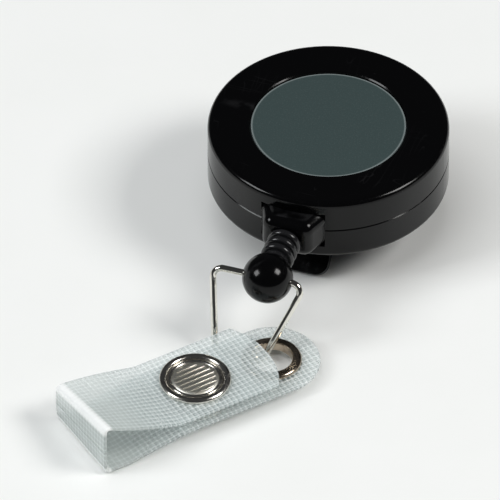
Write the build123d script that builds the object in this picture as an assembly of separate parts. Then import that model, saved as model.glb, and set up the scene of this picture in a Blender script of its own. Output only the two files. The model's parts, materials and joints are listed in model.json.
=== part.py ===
from build123d import *
import math
import os

# Retractable badge reel lying on its belt clip, label up, strap folded and snapped.
# Millimetres. +Z is up, the spool turns about Z and the cord leaves along -Y.
# The origin is the centre of the label's face.

# Case
case_diameter = 32.0
case_thickness = 9.4
case_edge_radius = 0.8
parting_chamfer = 0.12
shell_wall = 1.2
shell_back = 1.2
label_diameter = 20.6
label_thickness = 0.7
label_sink = 0.3
label_gap = 0.08
label_floor = 1.0
label_edge_radius = 0.12
lip_height = 1.0
lip_thickness = 0.5
lip_gap = 0.05

# Cord outlet
guide_root_width = 8.8
guide_tip_width = 6.2
guide_reach = 2.6
guide_height = 5.6
guide_inset = 0.6
guide_edge_radius = 1.5
cord_diameter = 0.8
cord_gap = 0.1
cord_outlet_flare = 0.5
guide_throat_flare = 1.3
guide_throat_depth = 2.9

# Spool and mainspring
post_diameter = 3.6
post_seat = 0.6
post_clearance = 0.05
spool_end_gap = 0.2
barrel_diameter = 17.2
barrel_wall = 1.0
barrel_floor = 0.7
flange_thickness = 0.6
flange_gap = 0.4
cord_lane = 2.6
winding_diameter = 23.4
lead_gap = 0.15
spring_strip = 0.2
spring_height = 3.4
spring_turns = 6
spring_wall_gap = 0.25
spring_floor_gap = 0.3
spring_lid_gap = 0.3

# Belt clip
clip_height = 6.2
clip_width = 7.6
clip_thickness = 1.15
clip_root_y = 14.0
clip_pad = 3.2
clip_bend_y = -7.4
clip_bend_gap = 0.3
clip_tip_y = -12.6
clip_root_radius = 1.8
clip_pad_radius = 4.0
clip_bend_radius = 2.0
clip_tip_radius = 1.6
bead_diameter = 1.8
bead_clearance = 0.08
slot_clearance = 0.15
bead_cover = 0.5

# End fitting
boot_gap = 0.3
boot_length = 4.15
boot_core_diameter = 3.2
boot_rib_diameter = 4.5
boot_ribs = 3
boot_rib_width = 0.95
boot_socket = 0.6
boot_rib_round = 0.42
ball_diameter = 6.7
knot_diameter = 1.6
knot_gap = 0.12
tail_in_knot = 0.2

# Wire loop
wire_diameter = 0.9
wire_clearance = 0.08
loop_top_width = 12.7
loop_bottom_width = 6.5
loop_lean = 23.8
loop_slide = -1.2
loop_skew = -1.3
loop_shoulder_radius = 1.25
loop_corner_radius = 1.2

# Strap
strap_width = 12.8
strap_thickness = 0.45
strap_turn = 228.5
strap_end = 6.4
strap_end_radius = 6.2
fold_distance = 28.6
fold_height = 6.9
flap_past_snap = 10.8
flap_end_radius = 2.4
hinge_gap = 0.35
floor_gap = 0.05
layer_overlap = 0.01
lower_drop_run = 3.0
lower_level_run = 1.0
lower_bend_run = 1.0
flap_level_run = 0.8
flap_bend_run = 0.6
eyelet_hole = 5.5
eyelet_tube_wall = 0.25
eyelet_outer = 8.0
eyelet_rim = 0.5
washer_thickness = 0.3
washer_lift = 0.15
leg_offset_along = -0.3
leg_offset_across = -1.7
snap_distance = 11.6
snap_cap_diameter = 9.5
snap_cap_height = 0.65
snap_cap_well = 7.0
snap_socket_diameter = 8.2
snap_socket_height = 1.0
snap_knob_diameter = 3.2
snap_clearance = 0.35
snap_socket_roof = 0.15
snap_knob_round = 0.35
snap_socket_round = 0.3
snap_stud_diameter = 7.6
snap_base = 0.3
snap_lift = 0.1
snap_post_diameter = 8.8
snap_tube_diameter = 2.6
snap_post_wall = 1.2
snap_post_roof = 0.4
snap_post_round = 0.5
eyelet_mouth_round = 0.2

# Levels
case_r = case_diameter / 2
front_z = label_sink
back_z = front_z - case_thickness
mid_z = (front_z + back_z) / 2
inner_front_z = -label_thickness - label_floor
inner_back_z = back_z + shell_back
floor_z = back_z - clip_height
cavity_r = case_r - shell_wall

spool_low_z = inner_back_z + spool_end_gap
spool_high_z = inner_front_z - spool_end_gap
lane_low_z = mid_z - cord_lane / 2
lane_high_z = mid_z + cord_lane / 2
flange_r = cavity_r - lip_gap - lip_thickness - flange_gap
barrel_r = barrel_diameter / 2
post_r = post_diameter / 2

guide_tip_y = -case_r - guide_reach
boot_back_y = guide_tip_y - boot_gap
ball_r = ball_diameter / 2
ball_y = boot_back_y - boot_length - ball_r
ball_centre = Vector(0, ball_y, mid_z)

bead_y = clip_root_y - clip_thickness / 2
bead_z = back_z + bead_diameter / 2

# The loop hangs in a plane through the ball, leaning away from the case, its lowest wire on the floor
loop_down = Vector(0, -math.sin(math.radians(loop_lean)), -math.cos(math.radians(loop_lean)))
wire_r = wire_diameter / 2
loop_length = (mid_z - floor_z - wire_r) / math.cos(math.radians(loop_lean))

# Strap levels above the floor
washer_low = wire_diameter + washer_lift
strap_low = washer_low + washer_thickness
strap_top = strap_low + strap_thickness
stud_base_top = strap_top + snap_base
socket_low = stud_base_top + snap_lift
flap_low = socket_low + snap_socket_height
flap_top = flap_low + strap_thickness


def rod(radius, low, high, x=0.0, y=0.0):
    """Upright cylinder between two heights."""
    return Pos(x, y, low) * Cylinder(radius, high - low, align=(Align.CENTER, Align.CENTER, Align.MIN))


def rod_along_y(radius, y_from, y_to, z=0.0):
    """Cylinder along Y between two stations."""
    body = Cylinder(radius, abs(y_to - y_from), align=(Align.CENTER, Align.CENTER, Align.MIN))
    return Pos(0, max(y_from, y_to), z) * Rot(90, 0, 0) * body


def block(x_size, y_low, y_high, z_low, z_high):
    """Box centred on X between two stations and two heights."""
    body = Box(x_size, y_high - y_low, z_high - z_low, align=(Align.CENTER, Align.MIN, Align.MIN))
    return Pos(0, y_low, z_low) * body


def bend_radius(before, corner, after, run):
    """Radius of the arc that rounds a corner and starts a given run away from it."""
    first = Vector(corner[0] - before[0], corner[1] - before[1])
    second = Vector(after[0] - corner[0], after[1] - corner[1])
    return 0.98 * run / math.tan(math.radians(first.get_angle(second)) / 2)


def ribbon(points, radii, thickness, width):
    """Bent strip: points (along, up) of one face, thickened to its left and extruded across."""
    plane = Plane.XZ
    line = FilletPolyline(*[plane.from_local_coords(Vector(a, b)) for a, b in points], radius=radii)
    outline = offset(line, amount=thickness, side=Side.LEFT, closed=True)
    return extrude(make_face(outline), amount=width / 2, both=True)


def loop_point(across, down):
    """Point of the wire loop's plane: across the ball, and down from its centre."""
    return ball_centre + Vector(across, 0, 0) + loop_down * down


def loop_centre(down):
    """Sideways centre of the loop at a distance down from the ball."""
    return loop_slide + loop_skew * down / loop_length


def loop_half(down):
    """Half width of the loop at a distance down from the ball."""
    return (loop_top_width + (loop_bottom_width - loop_top_width) * down / loop_length) / 2


def strap_place():
    """Strap frame: origin on the floor under the eyelet, +X towards the fold, +Y across."""
    level = (strap_low + strap_top) / 2
    down = (mid_z - floor_z - level) / math.cos(math.radians(loop_lean))
    leg = loop_point(loop_centre(down) + loop_half(down), down)
    turn = math.radians(strap_turn)
    along = Vector(math.cos(turn), math.sin(turn), 0)
    across = Vector(-math.sin(turn), math.cos(turn), 0)
    eyelet = leg - along * leg_offset_along - across * leg_offset_across
    return Location((eyelet.X, eyelet.Y, floor_z), (0, 0, strap_turn)), leg


def guide_outline_solid():
    """Tapered block of the cord outlet, which both shells are cut to."""
    inner_y = -cavity_r + guide_inset
    rim_y = -case_r + shell_wall / 2
    half_root = guide_root_width / 2
    half_tip = guide_tip_width / 2
    corners = [
        (-half_root, inner_y),
        (half_root, inner_y),
        (half_root, rim_y),
        (half_tip, guide_tip_y),
        (-half_tip, guide_tip_y),
        (-half_root, rim_y),
    ]
    outline = make_face(Polyline(*corners, close=True))
    return Pos(0, 0, mid_z - guide_height / 2) * extrude(outline, amount=guide_height)


def make_front_shell():
    shell = rod(case_r, mid_z, front_z)
    rims = shell.edges().filter_by(GeomType.CIRCLE).sort_by(Axis.Z)
    shell = chamfer(rims[0], parting_chamfer)
    shell = fillet(shell.edges().filter_by(GeomType.CIRCLE).sort_by(Axis.Z)[-1], case_edge_radius)
    shell -= rod(cavity_r, mid_z - 1, inner_front_z)
    recess_r = label_diameter / 2 + label_gap
    shell -= rod(recess_r, -label_thickness, front_z + 1)
    rim = [e for e in shell.edges().filter_by(GeomType.CIRCLE)
           if abs(e.radius - recess_r) < 0.01 and abs(e.center().Z - front_z) < 0.01]
    shell = chamfer(rim, label_sink / 2)
    shell -= rod(post_r, inner_front_z - 1, inner_front_z + post_seat)
    return shell - guide_outline_solid()


def make_rear_shell():
    shell = rod(case_r, back_z, mid_z)
    rims = shell.edges().filter_by(GeomType.CIRCLE).sort_by(Axis.Z)
    shell = chamfer(rims[-1], parting_chamfer)
    shell = fillet(shell.edges().filter_by(GeomType.CIRCLE).sort_by(Axis.Z)[0], case_edge_radius)
    shell -= rod(cavity_r, inner_back_z, mid_z + 1)
    lip_r = cavity_r - lip_gap
    shell += rod(lip_r, inner_back_z, mid_z + lip_height) - rod(lip_r - lip_thickness, inner_back_z, mid_z + 3)
    shell += rod(cavity_r, inner_back_z, mid_z) - rod(lip_r - lip_thickness, inner_back_z, mid_z)
    cover_top = back_z + bead_diameter + bead_clearance + bead_cover
    cover_low_y = bead_y - bead_diameter
    cover = block(clip_width + 2 * shell_wall, cover_low_y, case_r, inner_back_z - 0.2, cover_top)
    shell += cover & rod(cavity_r, back_z, mid_z)
    pocket_width = clip_width + 2 * slot_clearance
    pocket = Cylinder(bead_diameter / 2 + bead_clearance, pocket_width)
    shell -= Pos(0, bead_y, bead_z) * Rot(0, 90, 0) * pocket
    slot_low_y = clip_root_y - clip_thickness - slot_clearance
    shell -= block(pocket_width, slot_low_y, clip_root_y + slot_clearance, back_z - 1, bead_z)
    shell -= rod(post_r, back_z + shell_back - post_seat, mid_z)
    return shell - guide_outline_solid()


def make_label_disc():
    disc = rod(label_diameter / 2, -label_thickness, 0)
    return fillet(disc.edges().filter_by(GeomType.CIRCLE).sort_by(Axis.Z)[-1], label_edge_radius)


def make_centre_post():
    low = back_z + shell_back - post_seat
    post = rod(post_r, low, inner_front_z + post_seat)
    slot_low = spool_low_z + barrel_floor
    slot = block(spring_strip, 0, post_r + 1, slot_low, slot_low + spring_floor_gap + spring_height + spring_lid_gap)
    return post - slot


def make_cord_guide():
    guide = guide_outline_solid()
    flanks = guide.edges().filter_by(lambda edge: guide_tip_y < edge.center().Y < -case_r)
    guide = fillet(flanks + guide.faces().sort_by(Axis.Y)[0].edges(), guide_edge_radius)
    bore_r = cord_diameter / 2 + cord_gap
    guide -= rod_along_y(bore_r, 0, guide_tip_y - 1, mid_z)
    mouth = Cone(bore_r + cord_outlet_flare, bore_r, cord_outlet_flare,
                 align=(Align.CENTER, Align.CENTER, Align.MIN))
    guide -= Pos(0, guide_tip_y, mid_z) * Rot(-90, 0, 0) * mouth
    throat = Cone(bore_r + guide_throat_flare, bore_r, guide_throat_depth,
                  align=(Align.CENTER, Align.CENTER, Align.MIN))
    return guide - Pos(0, -cavity_r + guide_inset, mid_z) * Rot(90, 0, 0) * throat


def make_spool_drum():
    """Spring barrel with the lower cord flange."""
    drum = rod(barrel_r, spool_low_z, lane_high_z)
    drum -= rod(barrel_r - barrel_wall, spool_low_z + barrel_floor, lane_high_z)
    drum += rod(flange_r, lane_low_z - flange_thickness, lane_low_z) - rod(barrel_r, back_z, mid_z)
    drum -= rod(post_r + post_clearance, back_z, mid_z)
    return drum


def make_spool_cover():
    """Upper cord flange and lid of the spring barrel."""
    cover = rod(flange_r, lane_high_z, lane_high_z + flange_thickness)
    cover += rod(barrel_r, lane_high_z + flange_thickness, spool_high_z)
    return cover - rod(post_r + post_clearance, mid_z, 0)


def make_cord_winding():
    return rod(winding_diameter / 2, lane_low_z, lane_high_z) - rod(barrel_r, lane_low_z, lane_high_z)


def make_mainspring():
    """Flat spiral strip from the post's slot out towards the barrel wall."""
    low = spool_low_z + barrel_floor + spring_floor_gap
    inner_r = post_r + 2 * spring_strip
    outer_r = barrel_r - barrel_wall - spring_wall_gap - spring_strip
    steps = spring_turns * 18
    inner = []
    outer = []
    for i in range(steps + 1):
        angle = math.radians(90) + 2 * math.pi * spring_turns * i / steps
        r = inner_r + (outer_r - inner_r) * i / steps
        inner.append((r * math.cos(angle), r * math.sin(angle)))
        outer.append(((r + spring_strip) * math.cos(angle), (r + spring_strip) * math.sin(angle)))
    coil = Spline(*inner) + Line(inner[-1], outer[-1]) + Spline(*reversed(outer)) + Line(outer[0], inner[0])
    strip = Pos(0, 0, low) * extrude(make_face(coil), amount=spring_height)
    tail = block(spring_strip, 0, inner_r + spring_strip / 2, low, low + spring_height)
    return strip + tail


def cord_tube(points, radii):
    """Round cord through the points, its bends as tangent arcs."""
    path = FilletPolyline(*points, radius=radii) if len(points) > 2 else Line(*points)
    start = Plane(origin=path @ 0, z_dir=path % 0)
    tube = sweep(start * Circle(cord_diameter / 2), path=path)
    print("cord radii", radii, "volume ratio", tube.volume / (math.pi * cord_diameter ** 2 / 4 * path.length))
    return tube


def make_cord_lead():
    """Cord from the winding, through the outlet, to its mouth."""
    turn_y = -cavity_r + guide_inset
    lead_r = winding_diameter / 2 + lead_gap + cord_diameter / 2
    meet = math.acos(lead_r / -turn_y)
    start = (lead_r * math.sin(meet), -lead_r * math.cos(meet), mid_z)
    corner = (0, turn_y, mid_z)
    end = (0, guide_tip_y - boot_gap / 2, mid_z)
    first = math.dist(start, corner)
    second = math.dist(corner, end)
    turn = math.pi / 2 - meet
    bend = 0.45 * min(first, second) / math.tan(turn / 2)
    return cord_tube([start, corner, end], [bend])


def make_cord_tail():
    """Cord from the outlet's mouth, through the boot, to the knot."""
    start = (0, guide_tip_y - boot_gap / 2, mid_z)
    end = (0, knot_y() + knot_diameter / 2 - tail_in_knot, mid_z)
    return cord_tube([start, end], [])


def knot_y():
    """Knot's centre, between the boot's socket and the wire's bore."""
    return ball_y + ball_r - boot_socket - knot_gap - knot_diameter / 2


def make_cord_knot():
    knot = Pos(0, knot_y(), mid_z) * Sphere(knot_diameter / 2)
    return knot - make_cord_tail()


def make_ribbed_boot():
    front_y = boot_back_y - boot_length - boot_socket
    boot = rod_along_y(boot_core_diameter / 2, boot_back_y, front_y, mid_z)
    pitch = boot_length / boot_ribs
    for i in range(boot_ribs):
        rib_y = boot_back_y - i * pitch
        rib = rod_along_y(boot_rib_diameter / 2, rib_y, rib_y - boot_rib_width, mid_z)
        boot += fillet(rib.edges().filter_by(GeomType.CIRCLE), boot_rib_width * boot_rib_round)
    return boot - rod_along_y(cord_diameter / 2, boot_back_y + 1, front_y - 1, mid_z)


def make_end_ball():
    ball = Pos(ball_centre) * Rot(0, 0, 45) * Sphere(ball_r)
    socket_y = boot_back_y - boot_length - boot_socket
    ball -= rod_along_y(boot_core_diameter / 2, boot_back_y, socket_y, mid_z)
    knot_room = knot_diameter / 2 + knot_gap
    ball -= rod_along_y(knot_room, socket_y + 0.1, knot_y() - knot_room, mid_z)
    bore = Cylinder(wire_r + wire_clearance, ball_diameter + 2)
    return ball - Pos(ball_centre) * Rot(0, 90, 0) * bore


def make_wire_loop():
    """Closed loop of wire through the ball and the strap's eyelet."""
    top_centre = loop_centre(0)
    low_centre = loop_centre(loop_length)
    top = loop_top_width / 2
    low = loop_bottom_width / 2
    corners = [
        loop_point(top_centre - top, 0),
        loop_point(low_centre - low, loop_length),
        loop_point(low_centre + low, loop_length),
        loop_point(top_centre + top, 0),
    ]
    start = loop_point(top_centre, 0)
    radii = [loop_shoulder_radius, loop_corner_radius, loop_corner_radius, loop_shoulder_radius]
    half = len(corners) // 2
    foot = (corners[half - 1] + corners[half]) / 2
    left = FilletPolyline(start, corners[0], corners[1], foot, radius=radii[:half])
    right = FilletPolyline(foot, corners[2], corners[3], start, radius=radii[half:])
    halves = []
    for path in (left, right):
        section = Plane(origin=path @ 0, z_dir=path % 0) * Circle(wire_r)
        halves.append(sweep(section, path=path))
    return halves[0] + halves[1]


def on_strap(shape):
    """Moves a shape from the strap's own frame to its place."""
    return strap_place()[0] * shape


def plate_with_round_end(length_from, length_to, low, high, corner):
    """Flat strap layer with its two corners at the first end rounded."""
    body = Box(length_to - length_from, strap_width, high - low, align=(Align.MIN, Align.CENTER, Align.MIN))
    body = Pos(length_from, 0, low) * body
    ends = body.edges().filter_by(Axis.Z).sort_by(Axis.X)[:2]
    return fillet(ends, corner)


def make_strap_lower():
    """Lower layer: level under the eyelet and snap, down to the floor before the fold."""
    level_end = snap_distance + snap_post_diameter / 2 + lower_level_run
    points = [
        (level_end - layer_overlap, strap_low),
        (level_end + lower_bend_run, strap_low),
        (fold_distance - lower_drop_run, floor_gap),
        (fold_distance - hinge_gap, floor_gap),
    ]
    radii = [bend_radius(*points[i:i + 3], lower_bend_run) for i in (0, 1)]
    layer = plate_with_round_end(-strap_end, level_end, strap_low, strap_top, strap_end_radius)
    layer += ribbon(points, radii, strap_thickness, strap_width)
    tube_r = eyelet_hole / 2 + eyelet_tube_wall
    layer -= rod(tube_r, 0, strap_top + 1)
    layer -= rod(snap_tube_diameter / 2, 0, strap_top + 1, snap_distance)
    return on_strap(layer)


def make_strap_fold():
    """Upright wall of the fold."""
    wall = Box(strap_thickness, strap_width, fold_height - 2 * strap_thickness - 2 * hinge_gap)
    return on_strap(Pos(fold_distance + strap_thickness / 2, 0, fold_height / 2) * wall)


def make_strap_flap():
    """Upper layer: level over the snap, then rising to the top of the fold."""
    first = snap_distance - flap_past_snap
    level_end = snap_distance + snap_cap_diameter / 2 + flap_level_run
    points = [
        (level_end - layer_overlap, flap_low),
        (level_end + flap_bend_run, flap_low),
        (fold_distance - hinge_gap, fold_height - strap_thickness),
    ]
    layer = plate_with_round_end(first, level_end, flap_low, flap_top, flap_end_radius)
    layer += ribbon(points, [bend_radius(*points, flap_bend_run)], strap_thickness, strap_width)
    layer -= rod(snap_tube_diameter / 2, 0, flap_top + 1, snap_distance)
    return on_strap(layer)


def make_eyelet_barrel():
    """Tube through the strap with a rolled rim on top."""
    tube_r = eyelet_hole / 2 + eyelet_tube_wall
    barrel = rod(tube_r, washer_low, strap_top)
    rim = rod(eyelet_outer / 2, strap_top, strap_top + eyelet_rim)
    rim = fillet(rim.edges().filter_by(GeomType.CIRCLE).sort_by(Axis.Z)[-1], eyelet_rim * 0.9)
    barrel = barrel + rim - rod(eyelet_hole / 2, 0, strap_top + 2)
    mouth = barrel.edges().filter_by(GeomType.CIRCLE).sort_by(Axis.Z)[-1]
    return on_strap(fillet(mouth, eyelet_mouth_round))


def make_eyelet_washer():
    tube_r = eyelet_hole / 2 + eyelet_tube_wall
    washer = rod(eyelet_outer / 2, washer_low, strap_low) - rod(tube_r, 0, strap_low)
    return on_strap(washer)


def make_snap_cap():
    """Ring-shaped cap with a sunk centre and a shank through the flap into the socket."""
    high = flap_top + snap_cap_height
    cap = rod(snap_cap_diameter / 2, flap_top, high, snap_distance)
    cap = fillet(cap.edges().filter_by(GeomType.CIRCLE).sort_by(Axis.Z)[-1], snap_cap_height * 0.55)
    cap -= rod(snap_cap_well / 2, high - snap_cap_height * 0.6, high + 1, snap_distance)
    cap += rod(snap_tube_diameter / 2, flap_low, flap_top, snap_distance)
    return on_strap(cap)


def make_snap_socket():
    """Ring under the flap, open below for the stud's knob."""
    socket = rod(snap_socket_diameter / 2, socket_low, flap_low, snap_distance)
    socket = fillet(socket.edges().filter_by(GeomType.CIRCLE).sort_by(Axis.Z)[0], snap_socket_round)
    mouth_r = snap_knob_diameter / 2 + snap_clearance
    return on_strap(socket - rod(mouth_r, socket_low - 1, flap_low - snap_socket_roof, snap_distance))


def make_snap_stud():
    """Base ring on the lower layer with the rounded knob."""
    knob_top = flap_low - snap_socket_roof - snap_clearance
    stud = rod(snap_stud_diameter / 2, strap_top, stud_base_top, snap_distance)
    knob = rod(snap_knob_diameter / 2, stud_base_top, knob_top, snap_distance)
    knob = fillet(knob.edges().filter_by(GeomType.CIRCLE).sort_by(Axis.Z)[-1], snap_knob_round)
    return on_strap(stud + knob)


def make_snap_post():
    """Hollow back ring under the lower layer, its tube up to the stud."""
    roof_low = strap_low - snap_post_roof
    post = rod(snap_post_diameter / 2, floor_gap, strap_low, snap_distance)
    post = fillet(post.edges().filter_by(GeomType.CIRCLE).sort_by(Axis.Z)[0], snap_post_round)
    post -= rod(snap_post_diameter / 2 - snap_post_wall, floor_gap - 1, roof_low, snap_distance)
    post += rod(snap_tube_diameter / 2, roof_low, strap_top, snap_distance)
    return on_strap(post)


def make_belt_clip():
    """Springy leaf: root wall, resting pad, bend close to the back, flared tip, and the foot bead."""
    points = [
        (clip_root_y, back_z),
        (clip_root_y, floor_z),
        (clip_root_y - clip_pad, floor_z),
        (clip_bend_y, back_z - clip_bend_gap - clip_thickness),
        (clip_tip_y, floor_z),
    ]
    radii = [clip_root_radius, clip_pad_radius, clip_bend_radius]
    line = FilletPolyline(*[(0, y, z) for y, z in points], radius=radii)
    outline = offset(line, amount=clip_thickness, side=Side.RIGHT, closed=True)
    leaf = extrude(make_face(outline), amount=clip_width / 2, both=True)
    tip = leaf.faces().sort_by(Axis.Y)[0]
    leaf = fillet(tip.edges().filter_by(GeomType.LINE).group_by(SortBy.LENGTH)[0], clip_tip_radius)
    neck = block(clip_width, clip_root_y - clip_thickness, clip_root_y, back_z - 0.01, bead_z)
    bead = Pos(0, bead_y, bead_z) * Rot(0, 90, 0) * Cylinder(bead_diameter / 2, clip_width)
    return leaf + neck + bead


nodes = {
    "front_shell": make_front_shell(),
    "rear_shell": make_rear_shell(),
    "label_disc": make_label_disc(),
    "centre_post": make_centre_post(),
    "cord_guide": make_cord_guide(),
    "spool_drum": make_spool_drum(),
    "spool_cover": make_spool_cover(),
    "cord_winding": make_cord_winding(),
    "mainspring": make_mainspring(),
    "cord_lead": make_cord_lead(),
    "cord_tail": make_cord_tail(),
    "cord_knot": make_cord_knot(),
    "ribbed_boot": make_ribbed_boot(),
    "end_ball": make_end_ball(),
    "wire_loop": make_wire_loop(),
    "strap_lower": make_strap_lower(),
    "strap_fold": make_strap_fold(),
    "strap_flap": make_strap_flap(),
    "eyelet_barrel": make_eyelet_barrel(),
    "eyelet_washer": make_eyelet_washer(),
    "snap_cap": make_snap_cap(),
    "snap_socket": make_snap_socket(),
    "snap_stud": make_snap_stud(),
    "snap_post": make_snap_post(),
    "belt_clip": make_belt_clip(),
}

os.makedirs("parts", exist_ok=True)
for name, solid in nodes.items():
    export_step(solid, f"parts/{name}.step")
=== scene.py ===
import bpy
import bmesh
import json
import math
from mathutils import Vector, Matrix


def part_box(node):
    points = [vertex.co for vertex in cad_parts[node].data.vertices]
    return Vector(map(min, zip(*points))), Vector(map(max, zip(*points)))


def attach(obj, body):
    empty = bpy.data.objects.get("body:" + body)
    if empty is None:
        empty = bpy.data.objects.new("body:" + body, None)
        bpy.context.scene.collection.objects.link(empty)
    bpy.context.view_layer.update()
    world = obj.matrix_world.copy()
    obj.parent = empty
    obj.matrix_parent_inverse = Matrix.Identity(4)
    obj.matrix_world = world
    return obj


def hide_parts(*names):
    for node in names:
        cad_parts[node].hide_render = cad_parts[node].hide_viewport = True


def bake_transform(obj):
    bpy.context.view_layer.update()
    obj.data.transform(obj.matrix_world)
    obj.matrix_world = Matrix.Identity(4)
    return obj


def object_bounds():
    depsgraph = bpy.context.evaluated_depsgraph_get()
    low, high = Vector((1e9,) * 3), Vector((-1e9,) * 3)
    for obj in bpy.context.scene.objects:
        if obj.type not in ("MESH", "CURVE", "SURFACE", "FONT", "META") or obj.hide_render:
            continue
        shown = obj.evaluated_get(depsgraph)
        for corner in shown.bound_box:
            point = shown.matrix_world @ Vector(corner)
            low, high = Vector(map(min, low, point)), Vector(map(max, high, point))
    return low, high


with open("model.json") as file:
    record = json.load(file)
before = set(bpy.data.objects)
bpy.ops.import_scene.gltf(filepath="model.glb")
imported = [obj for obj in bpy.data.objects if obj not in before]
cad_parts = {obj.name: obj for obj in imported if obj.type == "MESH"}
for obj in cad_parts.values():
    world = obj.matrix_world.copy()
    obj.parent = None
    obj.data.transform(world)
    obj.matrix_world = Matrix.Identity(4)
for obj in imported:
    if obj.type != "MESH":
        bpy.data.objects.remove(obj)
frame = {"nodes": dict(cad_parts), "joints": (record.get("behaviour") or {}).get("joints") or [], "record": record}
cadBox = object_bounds()
mm = 0.001


def newGroup(name, inputs, outputs):
    group = bpy.data.node_groups.new(name, "ShaderNodeTree")
    for label, kind, value in inputs:
        socket = group.interface.new_socket(name=label, in_out="INPUT", socket_type=kind)
        if value is not None:
            socket.default_value = value
    for label, kind in outputs:
        group.interface.new_socket(name=label, in_out="OUTPUT", socket_type=kind)
    start = group.nodes.new("NodeGroupInput")
    end = group.nodes.new("NodeGroupOutput")
    return group, start, end


def setSocket(tree, socket, value):
    # a socket takes either another node's output or a plain value
    if hasattr(value, "is_linked"):
        tree.links.new(value, socket)
    else:
        socket.default_value = value


def mathNode(tree, operation, a, b=None, c=None, clamp=False):
    node = tree.nodes.new("ShaderNodeMath")
    node.operation = operation
    node.use_clamp = clamp
    for index, value in enumerate((a, b, c)):
        if value is not None:
            setSocket(tree, node.inputs[index], value)
    return node.outputs[0]


def noiseNode(tree, vector, scale, detail=2.0, roughness=0.5):
    node = tree.nodes.new("ShaderNodeTexNoise")
    tree.links.new(vector, node.inputs["Vector"])
    setSocket(tree, node.inputs["Scale"], scale)
    node.inputs["Detail"].default_value = detail
    node.inputs["Roughness"].default_value = roughness
    return node.outputs["Fac"]


def smoothStep(tree, value, low, high):
    # 0 at low, 1 at high, whichever is larger
    node = tree.nodes.new("ShaderNodeMapRange")
    node.interpolation_type = "SMOOTHSTEP"
    tree.links.new(value, node.inputs["Value"])
    setSocket(tree, node.inputs["From Min"], low)
    setSocket(tree, node.inputs["From Max"], high)
    return node.outputs["Result"]


# moulded grain: slow waviness and a fine texture, as a height
def buildMouldGrain():
    group, start, end = newGroup(
        "mouldGrain",
        [("Vector", "NodeSocketVector", None), ("Fineness", "NodeSocketFloat", 3000.0),
         ("Waviness", "NodeSocketFloat", 250.0)],
        [("Height", "NodeSocketFloat"), ("Patches", "NodeSocketFloat")])
    fineShare = 0.35
    fine = noiseNode(group, start.outputs["Vector"], start.outputs["Fineness"], 3.0, 0.6)
    slow = noiseNode(group, start.outputs["Vector"], start.outputs["Waviness"], 1.0, 0.4)
    group.links.new(mathNode(group, "MULTIPLY_ADD", fine, fineShare, slow), end.inputs["Height"])
    group.links.new(slow, end.inputs["Patches"])
    return group


# thin curved handling scratches: a mask that is 1 on a scratch
def buildHairlines():
    group, start, end = newGroup(
        "hairlines",
        [("Vector", "NodeSocketVector", None), ("Density", "NodeSocketFloat", 300.0),
         ("Thinness", "NodeSocketFloat", 0.006)],
        [("Mask", "NodeSocketFloat"), ("Height", "NodeSocketFloat")])
    lays = ((0.4, (1.0, 0.12, 1.0)), (1.9, (0.15, 1.0, 1.0)), (2.7, (1.0, 0.1, 0.5)))  # turn and stretch
    breakScale = 140.0
    masks = []
    for turn, stretch in lays:
        mapping = group.nodes.new("ShaderNodeMapping")
        mapping.inputs["Rotation"].default_value = (0.3 * turn, 0.2, turn)
        mapping.inputs["Scale"].default_value = stretch
        group.links.new(start.outputs["Vector"], mapping.inputs["Vector"])
        field = noiseNode(group, mapping.outputs["Vector"], start.outputs["Density"], 1.0, 0.3)
        away = mathNode(group, "ABSOLUTE", mathNode(group, "SUBTRACT", field, 0.5))
        masks.append(smoothStep(group, away, start.outputs["Thinness"], 0.0))
    breaks = smoothStep(group, noiseNode(group, start.outputs["Vector"], breakScale, 2.0), 0.5, 0.62)
    firstTwo = mathNode(group, "ADD", masks[0], masks[1])
    summed = mathNode(group, "ADD", firstTwo, masks[2], clamp=True)
    broken = mathNode(group, "MULTIPLY", summed, breaks)
    group.links.new(broken, end.inputs["Mask"])
    group.links.new(mathNode(group, "MULTIPLY", broken, -1.0), end.inputs["Height"])
    return group


# loose dust: small round specks of uneven size
def buildDustSpecks():
    group, start, end = newGroup(
        "dustSpecks",
        [("Vector", "NodeSocketVector", None), ("Density", "NodeSocketFloat", 900.0),
         ("Size", "NodeSocketFloat", 0.16)],
        [("Mask", "NodeSocketFloat")])
    rarity = 6.0  # a higher power leaves fewer large specks
    cells = group.nodes.new("ShaderNodeTexVoronoi")
    cells.feature = "F1"
    group.links.new(start.outputs["Vector"], cells.inputs["Vector"])
    group.links.new(start.outputs["Density"], cells.inputs["Scale"])
    split = group.nodes.new("ShaderNodeSeparateColor")
    group.links.new(cells.outputs["Color"], split.inputs["Color"])
    chance = mathNode(group, "POWER", split.outputs[0], rarity)
    size = mathNode(group, "MULTIPLY", chance, start.outputs["Size"])
    group.links.new(smoothStep(group, cells.outputs["Distance"], size, 0.0), end.inputs["Mask"])
    return group


# rubbed edges: where the surface bends outwards, broken up by noise
def buildEdgeRub():
    group, start, end = newGroup(
        "edgeRub",
        [("Vector", "NodeSocketVector", None), ("Pointiness", "NodeSocketFloat", 0.5),
         ("Start", "NodeSocketFloat", 0.52), ("Full", "NodeSocketFloat", 0.6)],
        [("Mask", "NodeSocketFloat")])
    patchScale = 700.0
    bent = smoothStep(group, start.outputs["Pointiness"], start.outputs["Start"], start.outputs["Full"])
    patches = smoothStep(group, noiseNode(group, start.outputs["Vector"], patchScale, 3.0), 0.35, 0.7)
    group.links.new(mathNode(group, "MULTIPLY", bent, patches), end.inputs["Mask"])
    return group


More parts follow.
